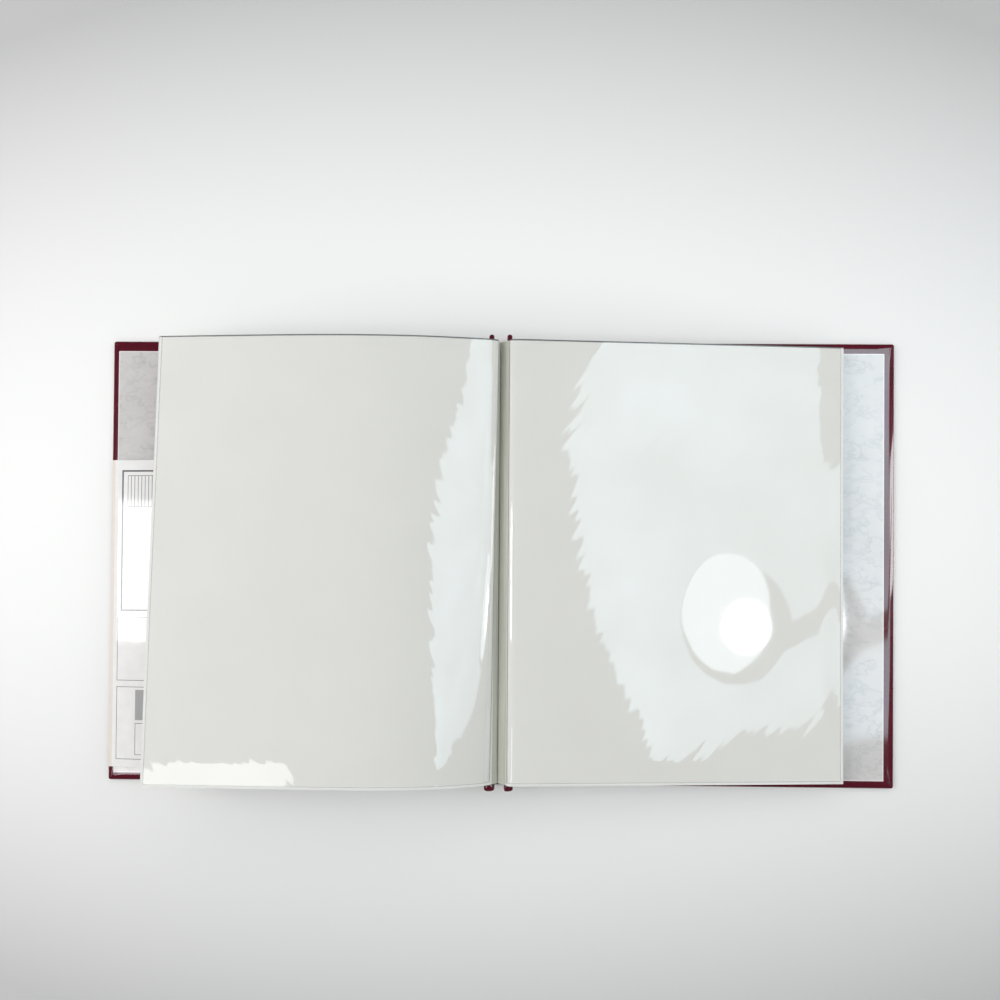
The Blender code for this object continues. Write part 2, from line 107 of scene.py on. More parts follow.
# How finely the sheets are divided, with extra rows close to their edges and creases
LEAST_STEP = 0.12 * MM
TOP_FILM_STEP = 2 * MM
TOP_INSERT_STEP = 4 * MM
SHEET_STEP = 8 * MM
EDGE_STEPS = np.array((0.2, 0.4, 0.6, 0.8, 1.1, 1.5, 1.9, 2.4, 3.0, 3.8, 4.8, 6.0)) * MM
CREASE_STEPS = np.array((0.3, 0.6, 1.0, 1.4, 1.8, 2.2, 2.6, 3.0,
                         3.5, 4.0, 4.6, 5.2, 6.0, 7.0, 8.0, 10.0)) * MM
CREASE_ROWS = 9
FREE_CREASE_ROWS = 5
RIBBON_COLUMNS = 41
SHARP_DEG = 40

# Waves in the two films on top: height and length in millimetres, and direction in degrees from straight out
FILM_BULGE = 0.30 * MM
FILM_WAVES = ((0.014, 62, 20), (0.010, 44, -35), (0.006, 31, -50))
WAVE_EDGE = 14 * MM
FORE_WAVE_EDGE = {LEFT: 34 * MM, RIGHT: 14 * MM}
TAUT_PLACE = (0.150, -0.010)
TAUT_REACH = (0.045, 0.105)
TAUT_SHARE = 0.04
RIPPLE_SIZE = (55 * MM, 8.5 * MM)
RIPPLE_TURN_DEG = 50
RIPPLE_HEIGHT = 0.09 * MM
FILM_IOR = 1.80
FILM_ROUGHNESS = 0.035
WELD_RIDGES = (2.2 * MM, 5.6 * MM)
WELD_RIDGE_HEIGHT = 0.10 * MM
WELD_RIDGE_WIDTH = 0.5 * MM

# Covers
TURN_IN_WIDTH = 14 * MM
WRAP_THICKNESS = 0.5 * MM
COVER_CORNER_RADIUS = 1.4 * MM
COVER_EDGE_WIDTH = 4.0 * MM
COVER_EDGE_HEIGHT = 1.3 * MM
COVER_FOOT_RADIUS = 1.1 * MM
MITRE_LIFT = 0.22 * MM
MITRE_REACH = 9 * MM
MITRE_FADE = (3.5 * MM, 5.0 * MM)
TURN_IN_STEPS = np.array((14, 10, 8, 7, 6.2, 5.4, 4.8, 4.3)) * MM
ON_TOP_SHARE = 0.9
COVER_END_ROWS = 25
COVER_FORE_ROWS = 61
COVER_CORNER_ROWS = 13
COVER_EDGE_ROWS = 11
COVER_FOOT_ROWS = 7
SAME_PLACE = 1e-6
LINING_STEP = 5 * MM
LINING_EDGE_STEPS = np.array((0.35, 0.7, 1.1)) * MM
LINING_WAVE = 0.03 * MM
LINING_WAVE_ACROSS = 17 * MM
LINING_WAVE_ALONG = 50 * MM
LINING_WAVE_SWAY = 2
LINING_WAVE_EDGE = 8 * MM
LINING_BORDER = (0.45 * MM, 0.75 * MM)
LINING_HEAD_INSET = 0.8 * MM
JOINT_OVERLAP = 0.05 * MM
JOINT_ROWS = 9

# Binding flaps
FLAP_ROUND = 1.45 * MM
FLAP_ROUND_ROWS = 6
FLAP_WRAP_THICKNESS = 0.6 * MM
POST_NUMBERS = (1, 2, 3)
POST_HOLE_RADIUS = 2.8 * MM
POST_HOLE_SIDES = 40
FLARE_START = 0.5 * MM
FLARE_RAMP = 2.2 * MM
FLARE_STEPS = 5

# How far the tail end of a flap swells to its left and to its right
TAIL_FLARE = {LEFT: (1.2 * MM, 2.2 * MM), RIGHT: (0.0, 2.4 * MM)}

# Loose card
CARD_STEP_ACROSS = 2.5 * MM
CARD_STEP_ALONG = 4 * MM
CARD_EDGE_STEPS = (0.5 * MM, 1.2 * MM)
CARD_ARCH = 5.0 * MM
CARD_ARCH_ENDS = 0.85
CARD_ARCH_SWELL = 0.3
CARD_EDGE_DROOP = 0.25 * MM
CARD_DROOP_WIDTH = 3.5 * MM
CARD_RIPPLE = 0.02 * MM
CARD_RIPPLE_LENGTH = 2.1 * MM
CARD_RIPPLE_TURN = 3
CARD_RIPPLE_START = 6 * MM
CARD_RIPPLE_FADE = (14 * MM, 30 * MM)

# Print on the card, from its corner: left, low, right, high, and the width of a box's line
CARD_BOXES = np.array((
    (7, 103, 133, 196.5, 1.1),
    (11, 172, 60, 193, 0.35),
    (5, 57, 66, 99, 0.35),
    (5, 5, 66, 53, 0.35),
    (18, 8, 44, 29, 0.35),
    (72, 5, 133, 99, 0.35),
)) * MM
CARD_COLUMNS = np.array((11, 172, 60, 193)) * MM
CARD_COLUMN_PITCH = 1.2 * MM
CARD_COLUMN_HALF = 0.2 * MM
CARD_PANEL = np.array((18, 31, 44, 51)) * MM
CARD_CREAM_WIDTH = 2.2 * MM


def joint_named(name):
    return next(joint for joint in frame["joints"] if joint["name"] == name)


def smooth_step(low, high, value):
    share = np.clip((np.asarray(value, float) - low) / (high - low), 0, 1)
    return share * share * (3 - 2 * share)


def smooth_curve(knots, values, at):
    """Monotone cubic curve through a few knots."""
    knots = np.asarray(knots, float)
    values = np.asarray(values, float)
    step = np.diff(knots)
    slope = np.diff(values) / step
    tangent = np.zeros_like(values)
    before, after = slope[:-1], slope[1:]
    steady = before * after > 0
    tangent[1:-1][steady] = 2 * before[steady] * after[steady] / (before[steady] + after[steady])
    tangent[0] = slope[0]
    tangent[-1] = slope[-1]
    place = np.clip(np.searchsorted(knots, at) - 1, 0, len(step) - 1)
    share = (at - knots[place]) / step[place]
    rest = 1 - share
    return (values[place] * (1 + 2 * share) * rest ** 2 + tangent[place] * step[place] * share * rest ** 2
            + values[place + 1] * share ** 2 * (3 - 2 * share)
            - tangent[place + 1] * step[place] * share ** 2 * rest)


# Materials


def new_look(name):
    look = bpy.data.materials.new(name)
    look.use_nodes = True
    look.node_tree.nodes.clear()
    return look


def add_node(look, kind, inputs=None, **settings):
    node = look.node_tree.nodes.new(kind)
    for key, value in settings.items():
        setattr(node, key, value)
    for key, value in (inputs or {}).items():
        if isinstance(value, bpy.types.NodeSocket):
            look.node_tree.links.new(value, node.inputs[key])
        else:
            node.inputs[key].default_value = value
    return node


def finish_look(look, shader):
    add_node(look, "ShaderNodeOutputMaterial", {"Surface": shader})
    return look


def math_node(look, operation, first, second=0.0):
    return add_node(look, "ShaderNodeMath", {0: first, 1: second}, operation=operation).outputs[0]


def vector_node(look, operation, first, second):
    outputs = add_node(look, "ShaderNodeVectorMath", {0: first, 1: second}, operation=operation).outputs
    return outputs["Value"] if operation in ("DISTANCE", "DOT_PRODUCT") else outputs["Vector"]


def mix_shaders(look, share, first, second):
    return add_node(look, "ShaderNodeMixShader", {0: share, 1: first, 2: second}).outputs[0]


def object_place(look):
    return add_node(look, "ShaderNodeTexCoord").outputs["Object"]


def scaled_place(look, place, scale):
    return add_node(look, "ShaderNodeMapping", {"Vector": place, "Scale": scale}).outputs[0]


def attribute(look, name):
    return add_node(look, "ShaderNodeAttribute", attribute_name=name).outputs["Fac"]


def noise(look, place, scale, detail=3.0, roughness=0.5):
    inputs = {"Vector": place, "Scale": scale, "Detail": detail, "Roughness": roughness}
    return add_node(look, "ShaderNodeTexNoise", inputs).outputs["Fac"]


def ramp(look, value, *stops):
    """Colours along a value: stops are (position, colour)."""
    node = add_node(look, "ShaderNodeValToRGB", {"Fac": value})
    while len(node.color_ramp.elements) < len(stops):
        node.color_ramp.elements.new(0.5)
    for element, (position, colour) in zip(node.color_ramp.elements, stops):
        element.position = position
        element.color = (*colour, 1.0)
    return node.outputs["Color"]


def rescale(look, value, low, high, from_low=0.0, from_high=1.0):
    inputs = {"Value": value, "From Min": from_low, "From Max": from_high, "To Min": low, "To Max": high}
    return add_node(look, "ShaderNodeMapRange", inputs).outputs["Result"]


def bump(look, height, distance, strength=1.0):
    inputs = {"Height": height, "Distance": distance, "Strength": strength}
    return add_node(look, "ShaderNodeBump", inputs).outputs["Normal"]


def blend_colours(look, share, first, second):
    inputs = {"Factor": share, "A": first, "B": second}
    return add_node(look, "ShaderNodeMix", inputs, data_type="RGBA").outputs["Result"]


def principled(look, **inputs):
    named = {key.replace("_", " "): value for key, value in inputs.items()}
    return add_node(look, "ShaderNodeBsdfPrincipled", named).outputs["BSDF"]


def painted(look, **inputs):
    return finish_look(look, principled(look, **inputs))


def leatherette_look():
    """Fine pebbled grain under a semi-gloss face, with painted shade that darkens the pits."""
    look = new_look("leatherette")
    place = object_place(look)
    cells = add_node(look, "ShaderNodeTexVoronoi", {"Vector": place, "Scale": 1500.0, "Randomness": 0.9},
                     feature="DISTANCE_TO_EDGE").outputs["Distance"]
    pebbles = rescale(look, cells, 0.0, 1.0, 0.0, 0.35)
    blotches = noise(look, place, 45.0, 4.0)
    scuffs = noise(look, place, 900.0, 2.0)
    # Colour follows the pebble depth: painted shade darkens the pits of the grain, and the blotches add
    # random tone.
    tone = math_node(look, "ADD", math_node(look, "MULTIPLY", pebbles, 0.45),
                     math_node(look, "MULTIPLY", blotches, 0.55))
    colour = ramp(look, tone, (0.15, (0.070, 0.0010, 0.0080)), (0.55, (0.115, 0.0018, 0.0150)),
                  (0.95, (0.165, 0.0050, 0.0260)))
    height = math_node(look, "ADD", pebbles, math_node(look, "MULTIPLY", scuffs, 0.35))
    return painted(look, Base_Color=colour, Roughness=rescale(look, blotches, 0.22, 0.32), IOR=1.30,
                   Coat_Weight=1.0, Coat_Roughness=0.06, Coat_IOR=2.1,
                   Normal=bump(look, height, 0.03 * MM, 0.5))


def lining_look():
    """Glossy paper with a pale grey marbled print and a white cut edge."""
    look = new_look("lining")
    place = object_place(look)
    drift = noise(look, place, 14.0, 3.0)
    bend = add_node(look, "ShaderNodeCombineXYZ", {"X": math_node(look, "MULTIPLY", drift, 0.03),
                                                   "Y": math_node(look, "MULTIPLY", drift, -0.02)}).outputs[0]
    bent = vector_node(look, "ADD", place, bend)
    clouds = noise(look, bent, 55.0, 6.0, 0.62)
    veins = noise(look, scaled_place(look, bent, (70.0, 130.0, 100.0)), 1.0, 4.0, 0.6)
    vein = math_node(look, "ABSOLUTE", math_node(look, "SUBTRACT", veins, 0.52))
    vein = rescale(look, vein, 0.32, 0.5, 0.0, 0.06)
    mottle = math_node(look, "ADD", math_node(look, "MULTIPLY", clouds, 0.5), vein)
    print_colour = ramp(look, mottle, (0.50, (0.545, 0.540, 0.540)), (0.66, (0.655, 0.632, 0.622)),
                        (0.86, (0.720, 0.690, 0.675)))
    colour = blend_colours(look, attribute(look, "border"), print_colour, (0.93, 0.86, 0.87, 1.0))
    grain = noise(look, place, 2500.0, 2.0)
    return painted(look, Base_Color=colour, Roughness=rescale(look, clouds, 0.24, 0.34), IOR=1.5,
                   Coat_Weight=1.0, Coat_Roughness=0.06, Coat_IOR=2.0,
                   Normal=bump(look, grain, 0.01 * MM, 0.3))


def paper_look():
    """Matt white insert with a soft fibre grain."""
    look = new_look("insert_paper")
    place = object_place(look)
    clouds = noise(look, place, 30.0, 3.0)
    fibres = noise(look, place, 1800.0, 3.0, 0.7)
    tone = math_node(look, "ADD", math_node(look, "MULTIPLY", clouds, 0.75),
                     math_node(look, "MULTIPLY", fibres, 0.25))
    colour = ramp(look, tone, (0.25, (0.815, 0.805, 0.775)), (0.75, (0.845, 0.835, 0.808)))
    return painted(look, Base_Color=colour, Roughness=rescale(look, fibres, 0.72, 0.9),
                   Normal=bump(look, fibres, 0.02 * MM, 0.3))


def film_look():
    """Clear glossy film with fine drawn ripples, frosted where it is welded, with a painted shadow line along
    the open end of the pocket.
    """
    look = new_look("clear_film")
    place = add_node(look, "ShaderNodeUVMap", uv_map="leaf").outputs["UV"]
    drawn = add_node(look, "ShaderNodeMapping", {"Vector": place, "Scale": (*RIPPLE_SIZE, 1.0),
                                                 "Rotation": (0, 0, math.radians(RIPPLE_TURN_DEG))},
                     vector_type="TEXTURE").outputs[0]
    ripples = noise(look, drawn, 1.0, 1.0)
    from_taut = vector_node(look, "DISTANCE", place, (*TAUT_PLACE, 0.0))
    amount = rescale(look, from_taut, TAUT_SHARE, 1.0, *TAUT_REACH)
    normal = bump(look, math_node(look, "MULTIPLY", ripples, amount), RIPPLE_HEIGHT)
    fresnel = add_node(look, "ShaderNodeFresnel", {"IOR": FILM_IOR, "Normal": normal}).outputs["Fac"]
    backing = add_node(look, "ShaderNodeNewGeometry").outputs["Backfacing"]
    facing = math_node(look, "SUBTRACT", 1.0, backing)
    clear = add_node(look, "ShaderNodeBsdfTransparent", {"Color": (0.990, 0.990, 0.986, 1.0)}).outputs[0]
    gloss = add_node(look, "ShaderNodeBsdfGlossy", {"Color": WHITE, "Roughness": FILM_ROUGHNESS,
                                                    "Normal": normal}).outputs[0]
    film = mix_shaders(look, math_node(look, "MULTIPLY", fresnel, facing), clear, gloss)
    frost = noise(look, place, 700.0, 2.0)
    frosted = ramp(look, frost, (0.3, (0.70, 0.695, 0.67)), (0.7, (0.77, 0.765, 0.74)))
    # Thin dark line at the open end of the pocket: painted shadow of the gap between the films, drawn as an
    # opaque colour like the weld
    mouth_shadow = attribute(look, "mouth_shadow")
    border = blend_colours(look, mouth_shadow, frosted, (0.13, 0.135, 0.13, 1.0))
    welded = principled(look, Base_Color=border, Roughness=0.45, IOR=1.5,
                        Normal=bump(look, frost, 0.02 * MM, 0.5))
    solid = math_node(look, "MAXIMUM", attribute(look, "seam"), math_node(look, "MULTIPLY", mouth_shadow, 0.8))
    return finish_look(look, mix_shaders(look, solid, film, welded))


def strip_look():
    """Grey binding edge with faint extrusion lines along it."""
    look = new_look("binding_strip")
    streaks = noise(look, scaled_place(look, object_place(look), (2600.0, 14.0, 2600.0)), 1.0)
    colour = ramp(look, streaks, (0.25, (0.40, 0.40, 0.34)), (0.55, (0.56, 0.56, 0.49)),
                  (0.8, (0.72, 0.72, 0.66)))
    return painted(look, Base_Color=colour, Roughness=rescale(look, streaks, 0.30, 0.5), IOR=1.5,
                   Normal=bump(look, streaks, 0.03 * MM, 0.5))


def board_look():
    look = new_look("greyboard")
    place = object_place(look)
    fibres = noise(look, place, 900.0, 5.0, 0.7)
    colour = ramp(look, fibres, (0.3, (0.27, 0.25, 0.22)), (0.7, (0.42, 0.39, 0.35)))
    return painted(look, Base_Color=colour, Roughness=rescale(look, fibres, 0.8, 0.95),
                   Normal=bump(look, fibres, 0.06 * MM, 0.6))


def metal_look():
    look = new_look("post_metal")
    marks = noise(look, scaled_place(look, object_place(look), (9000.0, 700.0, 700.0)), 1.0)
    colour = ramp(look, marks, (0.3, (0.58, 0.57, 0.54)), (0.7, (0.74, 0.73, 0.71)))
    return painted(look, Base_Color=colour, Metallic=1.0, Roughness=rescale(look, marks, 0.18, 0.34),
                   Normal=bump(look, marks, 0.01 * MM, 0.4))


def between(look, value, low, high):
    """1 where a value lies between two limits."""
    above = math_node(look, "GREATER_THAN", value, low)
    below = math_node(look, "LESS_THAN", value, high)
    return math_node(look, "MULTIPLY", above, below)


def filled_box(look, across, along, left, low, right, high):
    """Box on the card, as a mask."""
    return math_node(look, "MULTIPLY", between(look, across, left, right), between(look, along, low, high))


def ruled_box(look, across, along, left, low, right, high, line):
    """Outline of a box on the card, as a mask."""
    outer = filled_box(look, across, along, left, low, right, high)
    inner = filled_box(look, across, along, left + line, low + line, right - line, high - line)
    return math_node(look, "SUBTRACT", outer, inner)


def card_look():
    """Glossy white card printed with plain ruled boxes."""
    look = new_look("printed_card")
    place = add_node(look, "ShaderNodeUVMap", uv_map="card").outputs["UV"]
    parts = add_node(look, "ShaderNodeSeparateXYZ", {"Vector": place})
    across, along = parts.outputs["X"], parts.outputs["Y"]
    past_first = math_node(look, "SUBTRACT", across, CARD_COLUMNS[0])
    from_column = math_node(look, "PINGPONG", past_first, CARD_COLUMN_PITCH)
    ink = math_node(look, "MULTIPLY", math_node(look, "LESS_THAN", from_column, CARD_COLUMN_HALF),
                    filled_box(look, across, along, *CARD_COLUMNS))
    for box in CARD_BOXES:
        ink = math_node(look, "MAXIMUM", ink, ruled_box(look, across, along, *box))
    panel = filled_box(look, across, along, *CARD_PANEL)
    wear = noise(look, place, 120.0, 3.0)
    stock = ramp(look, wear, (0.3, (0.80, 0.785, 0.775)), (0.7, (0.86, 0.845, 0.835)))
    cream = math_node(look, "LESS_THAN", across, CARD_CREAM_WIDTH)
    bare = blend_colours(look, math_node(look, "MULTIPLY", cream, 0.6), stock, (0.74, 0.62, 0.50, 1.0))
    toned = blend_colours(look, math_node(look, "MULTIPLY", panel, 0.85), bare, (0.30, 0.30, 0.31, 1.0))
    printed = blend_colours(look, math_node(look, "MULTIPLY", ink, 0.9), toned, (0.035, 0.035, 0.040, 1.0))
    return painted(look, Base_Color=printed, Roughness=rescale(look, wear, 0.30, 0.42), IOR=1.5,
                   Coat_Weight=1.0, Coat_Roughness=0.05, Normal=bump(look, wear, 0.02 * MM, 0.3))


LOOKS = {
    "leatherette": leatherette_look(),
    "greyboard": board_look(),
    "lining": lining_look(),
    "clear_film": film_look(),
    "white_paper": paper_look(),
    "binding_strip": strip_look(),
    "post_metal": metal_look(),
    "printed_card": card_look(),
}


# Meshes


def mesh_from(name, points, faces):
    mesh = bpy.data.meshes.new(name)
    mesh.from_pydata(points, [], faces)
    mesh.update()
    return mesh


def mesh_of(form, name):
    mesh = bpy.data.meshes.new(name)
    form.to_mesh(mesh)
    form.free()
    return mesh


def smooth(mesh):
    mesh.shade_smooth()
    mesh.set_sharp_from_angle(angle=math.radians(SHARP_DEG))
    return mesh


def sheet_mesh(name, upper, lower, flip):
    """Closed thin sheet between two grids of points, each rows by columns by 3."""
    rows, columns = upper.shape[:2]
    count = rows * columns
    index = np.arange(count).reshape(rows, columns)
    quads = np.stack([index[:-1, :-1], index[1:, :-1], index[1:, 1:], index[:-1, 1:]], -1).reshape(-1, 4)
    loop = np.concatenate([index[0, :-1], index[:-1, -1], index[-1, :0:-1], index[:0:-1, 0]])
    after = np.roll(loop, -1)
    rim = np.stack([loop, after, after + count, loop + count], -1)
    faces = np.concatenate([quads, quads[:, ::-1] + count, rim])
    if flip:
        faces = faces[:, ::-1]
    points = np.concatenate([upper.reshape(-1, 3), lower.reshape(-1, 3)])
    return smooth(mesh_from(name, points.tolist(), faces.tolist()))


def add_uv(mesh, name, across, along):
    """UV map in metres: one place for each vertex of a sheet's upper face, the same below."""
    places = np.tile(np.stack([across, along], -1).reshape(-1, 2), (2, 1))
    corners = np.zeros(len(mesh.loops), np.int32)
    mesh.loops.foreach_get("vertex_index", corners)
    layer = mesh.uv_layers.new(name=name)
    layer.data.foreach_set("uv", places[corners].astype(np.float32).ravel())


def add_attribute(mesh, name, values):
    """One value for each vertex of a sheet's upper face, the same below."""
    layer = mesh.attributes.new(name, "FLOAT", "POINT")
    layer.data.foreach_set("value", np.tile(values.ravel(), 2).astype(np.float32))


def add_object(name, data):
    made = bpy.data.objects.new(name, data)
    bpy.context.scene.collection.objects.link(made)
    return made


def paint(mesh, slot):
    mesh.materials.clear()
    mesh.materials.append(LOOKS[slot])


def add_piece(name, mesh, slot, body=None, replaced=()):
    piece = add_object(name, mesh)
    paint(mesh, slot)
    if replaced:
        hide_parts(*replaced)
    if body:
        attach(piece, body)
    return piece


def spread(start, end, step, close=()):
    """Places from start to end about a step apart, with extra ones close to each end."""
    inner = np.linspace(start, end, max(2, round((end - start) / step) + 1))
    close = np.asarray(close, float)
    places = np.concatenate([inner, start + close, end - close])
    places = np.unique(np.round(places, 7))
    keep = np.concatenate([[True], np.diff(places) > LEAST_STEP])
    keep[-1] = True
    return places[keep]


# Leaves


def leaf_hinge(side, number):
    """Crease of a leaf: how far out from the middle, and how high."""
    place = joint_named(f"{SIDE_NAMES[side]}_leaf_{number}_turn")["pos_m"]
    return abs(place[0]), place[2]


def leaf_reach(side, number):
    """Vector from the crease of a leaf straight to its fore-edge: out, up."""
    node = frame["nodes"][f"{SIDE_NAMES[side]}_leaf_{number}_front_film"]
    points = [node.matrix_world @ vertex.co for vertex in node.data.vertices]
    far = max(abs(point.x) for point in points)
    fore_edge = [point for point in points if abs(point.x) > far - FORE_EDGE_DEPTH]
    out, up = leaf_hinge(side, number)
    return far - out, sum(point.z for point in fore_edge) / len(fore_edge) - up


def leaf_rise(side, number):
    out, up = leaf_reach(side, number)
    return math.atan2(up, out)


LEAF_END = math.hypot(*leaf_reach(RIGHT, 1))
LEAF_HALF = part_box("right_leaf_1_front_film")[1].y


def leaf_slopes(side, number, distance, y):
    """Slope of the sheet at each distance from the crease and each place along it."""
    knots = np.asarray(SLOPE_KNOTS) * MM
    if side == RIGHT:
        first = smooth_curve(knots, RIGHT_SLOPE, distance)[:, None] + 0 * y[None, :]
        share = 1.0
    else:
        head, middle, tail = (smooth_curve(knots, values, distance)[:, None] for values in
                              (LEFT_HEAD_SLOPE, LEFT_MIDDLE_SLOPE, LEFT_TAIL_SLOPE))
        along = (y[None, :] + LEAF_HALF) / (2 * LEAF_HALF)
        first = (tail * 2 * (along - 0.5) * (along - 1) + middle * 4 * along * (1 - along)
                 + head * 2 * along * (along - 0.5))
        share = LEFT_SHAPE_SHARE[number - 1]
    first = np.radians(first)
    return leaf_rise(side, number) + share * (first - leaf_rise(side, 1))


def leaf_points(side, number, distance, y, lift):
    """Grid of points on a leaf, lifted off the middle of its sheet."""
    fine = np.arange(0, LEAF_END + SLOPE_STEP, SLOPE_STEP)
    slopes = leaf_slopes(side, number, fine, y)
    start = np.zeros((1, len(y)))
    middle = (slopes[1:] + slopes[:-1]) / 2
    out = np.concatenate([start, np.cumsum(np.cos(middle) * SLOPE_STEP, axis=0)])
    up = np.concatenate([start, np.cumsum(np.sin(middle) * SLOPE_STEP, axis=0)])
    place = np.clip(np.round(distance / SLOPE_STEP).astype(int), 0, len(fine) - 1)
    slopes, out, up = slopes[place], out[place], up[place]
    share = LEFT_SHAPE_SHARE[number - 1] if side == LEFT else 1.0
    to_tail = (LEAF_HALF - y[None, :]) / (2 * LEAF_HALF)
    out = out + share * TAIL_SPREAD[side] * to_tail ** 2 * smooth_step(0, SPREAD_RAMP, distance)[:, None]
    out = out - GATHER[side][number - 1] * smooth_step(0, GATHER_RAMP, distance)[:, None]
    hinge_out, hinge_up = leaf_hinge(side, number)
    x = side * (hinge_out + out - np.sin(slopes) * lift)
    z = hinge_up + up + np.cos(slopes) * lift
    return np.stack([x, np.broadcast_to(y[None, :], x.shape), z], -1)


def seam_mask(distance, y, start):
    """1 on the welded border of a pocket."""
    side_gap = np.minimum(distance - start, LEAF_END - distance)[:, None]
    foot_gap = (y + LEAF_HALF)[None, :]
    return 1 - smooth_step(SEAM_WIDTH, SEAM_WIDTH + SEAM_FADE, np.minimum(side_gap, foot_gap))


def mouth_shadow_mask(distance, y):
    """1 in a thin band along the open end of a pocket, where a dark line of painted shadow lies between its
    films.
    """
    across = np.ones((len(distance), 1))
    return across * (1 - smooth_step(MOUTH_SHADOW_MARGIN, 2 * MOUTH_SHADOW_MARGIN, LEAF_HALF - y))[None, :]


def film_waves(side, distance, y):
    """Height of a loose film above its flat rest: a slack belly, drawn waves and two weld ridges."""
    phase = np.random.default_rng(SEED + side).uniform(0, 2 * math.pi, len(FILM_WAVES))
    total = np.full((len(distance), len(y)), FILM_BULGE)
    for (height, length, turn), shift in zip(FILM_WAVES, phase):
        turn = math.radians(turn)
        travel = distance[:, None] * math.cos(turn) + y[None, :] * math.sin(turn)
        total = total + height * MM * np.sin(2 * math.pi * travel / (length * MM) + shift)
    hold = (smooth_step(0, WAVE_EDGE, distance - SEAM_WIDTH)
            * smooth_step(0, FORE_WAVE_EDGE[side], LEAF_END - SEAM_WIDTH - distance))[:, None]
    foot = smooth_step(0, WAVE_EDGE, y + LEAF_HALF - SEAM_WIDTH)[None, :]
    ridges = sum(np.exp(-((distance - place) / WELD_RIDGE_WIDTH) ** 2) for place in WELD_RIDGES)
    return total * hold * foot + WELD_RIDGE_HEIGHT * ridges[:, None]


def film_piece(side, number, face, look_step, waves):
    """One film of a pocket, front or back, as a thin closed sheet."""
    label = f"{SIDE_NAMES[side]}_leaf_{number}"
    start = 0.0 if (side, number) == (RIGHT, 1) else CREASE_GAP
    distance = spread(start, LEAF_END, look_step, np.concatenate([EDGE_STEPS, CREASE_STEPS]))
    y = spread(-LEAF_HALF, LEAF_HALF, look_step, EDGE_STEPS)
    lift = film_waves(side, distance, y) if waves else np.zeros((len(distance), len(y)))
    turn = 1 if face == "front" else -1
    high = leaf_points(side, number, distance, y, turn * (FILM_HIGH + lift))
    low = leaf_points(side, number, distance, y, turn * (FILM_LOW + lift))
    upper, lower = (high, low) if face == "front" else (low, high)
    name = f"{label}_{face}_film_sheet"
    mesh = sheet_mesh(name, upper, lower, side == LEFT)
    add_uv(mesh, "leaf", *np.broadcast_arrays(distance[:, None], y[None, :]))
    add_attribute(mesh, "seam", seam_mask(distance, y, start))
    # Mask of the painted shadow line at the open end of the pocket
    add_attribute(mesh, "mouth_shadow", mouth_shadow_mask(distance, y))
    return add_piece(name, mesh, "clear_film", label, [f"{label}_{face}_film"])


def insert_piece(side, number, look_step):
    label = f"{SIDE_NAMES[side]}_insert_{number}"
    start = CREASE_GAP + SEAM_WIDTH + SEAM_CLEARANCE
    end = LEAF_END - SEAM_WIDTH - SEAM_CLEARANCE
    low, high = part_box(label)
    distance = spread(start, end, look_step, CREASE_STEPS)
    y = spread(low.y, high.y, look_step)
    upper = leaf_points(side, number, distance, y, INSERT_HALF)
    lower = leaf_points(side, number, distance, y, -INSERT_HALF)
    mesh = sheet_mesh(label + "_paper", upper, lower, side == LEFT)
    return add_piece(label + "_paper", mesh, "white_paper", label, [label])


def ribbon_mesh(name, path, thickness, half_length, steps, flip):
    """Thin band: a path of (x, z) points swept along Y, thickened across the path."""
    path = np.asarray(path, float)
    along = np.gradient(path, axis=0)
    along /= np.linalg.norm(along, axis=1)[:, None]
    across = np.stack([-along[:, 1], along[:, 0]], -1) * thickness / 2
    y = np.linspace(-half_length, half_length, steps)
    grids = []
    for edge in (path + across, path - across):
        x = np.broadcast_to(edge[:, :1], (len(path), steps))
        z = np.broadcast_to(edge[:, 1:], (len(path), steps))
        grids.append(np.stack([x, np.broadcast_to(y[None, :], x.shape), z], -1))
    return sheet_mesh(name, grids[0], grids[1], flip)


def bezier(first, control, last, steps):
    share = np.linspace(0, 1, steps)[:, None]
    first, control, last = (np.asarray(point, float) for point in (first, control, last))
    return first * (1 - share) ** 2 + control * 2 * share * (1 - share) + last * share ** 2


def crease_piece(side, number):
    """Soft crease between the binding strip and its leaf."""
    label = f"{SIDE_NAMES[side]}_leaf_{number}"
    out, up = leaf_hinge(side, number)
    hinge = (side * out, up)
    strip_end = (side * (out - STRIP_END_GAP * math.sin(STRIP_LEAN)),
                 up - STRIP_END_GAP * math.cos(STRIP_LEAN))
    free = (side, number) == (RIGHT, 1)
    if free:
        halfway = ((strip_end[0] + hinge[0]) / 2, (strip_end[1] + hinge[1]) / 2)
        path = bezier(strip_end, halfway, hinge, FREE_CREASE_ROWS)
    else:
        begin = leaf_points(side, number, np.array([CREASE_GAP]), np.array([0.0]), np.zeros((1, 1)))[0, 0]
        path = bezier(strip_end, hinge, (begin[0], begin[2]), CREASE_ROWS)
    mesh = ribbon_mesh(label + "_crease", path, CREASE_THICKNESS, LEAF_HALF, RIBBON_COLUMNS, side == LEFT)
    piece = add_piece(label + "_crease", mesh, "binding_strip", "binding" if free else None)
    if not free:
        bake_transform(piece)


def flatten_with(piece):
    """Gives a sheet its own copy of its mesh."""
    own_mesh(piece)


def make_leaf(side, number):
    top = number == 1
    sheets = [
        film_piece(side, number, "front", TOP_FILM_STEP if top else SHEET_STEP, top),
        film_piece(side, number, "back", SHEET_STEP, False),
        insert_piece(side, number, TOP_INSERT_STEP if top else SHEET_STEP),
    ]
    for sheet in sheets:
        flatten_with(sheet)
    crease_piece(side, number)


# Covers


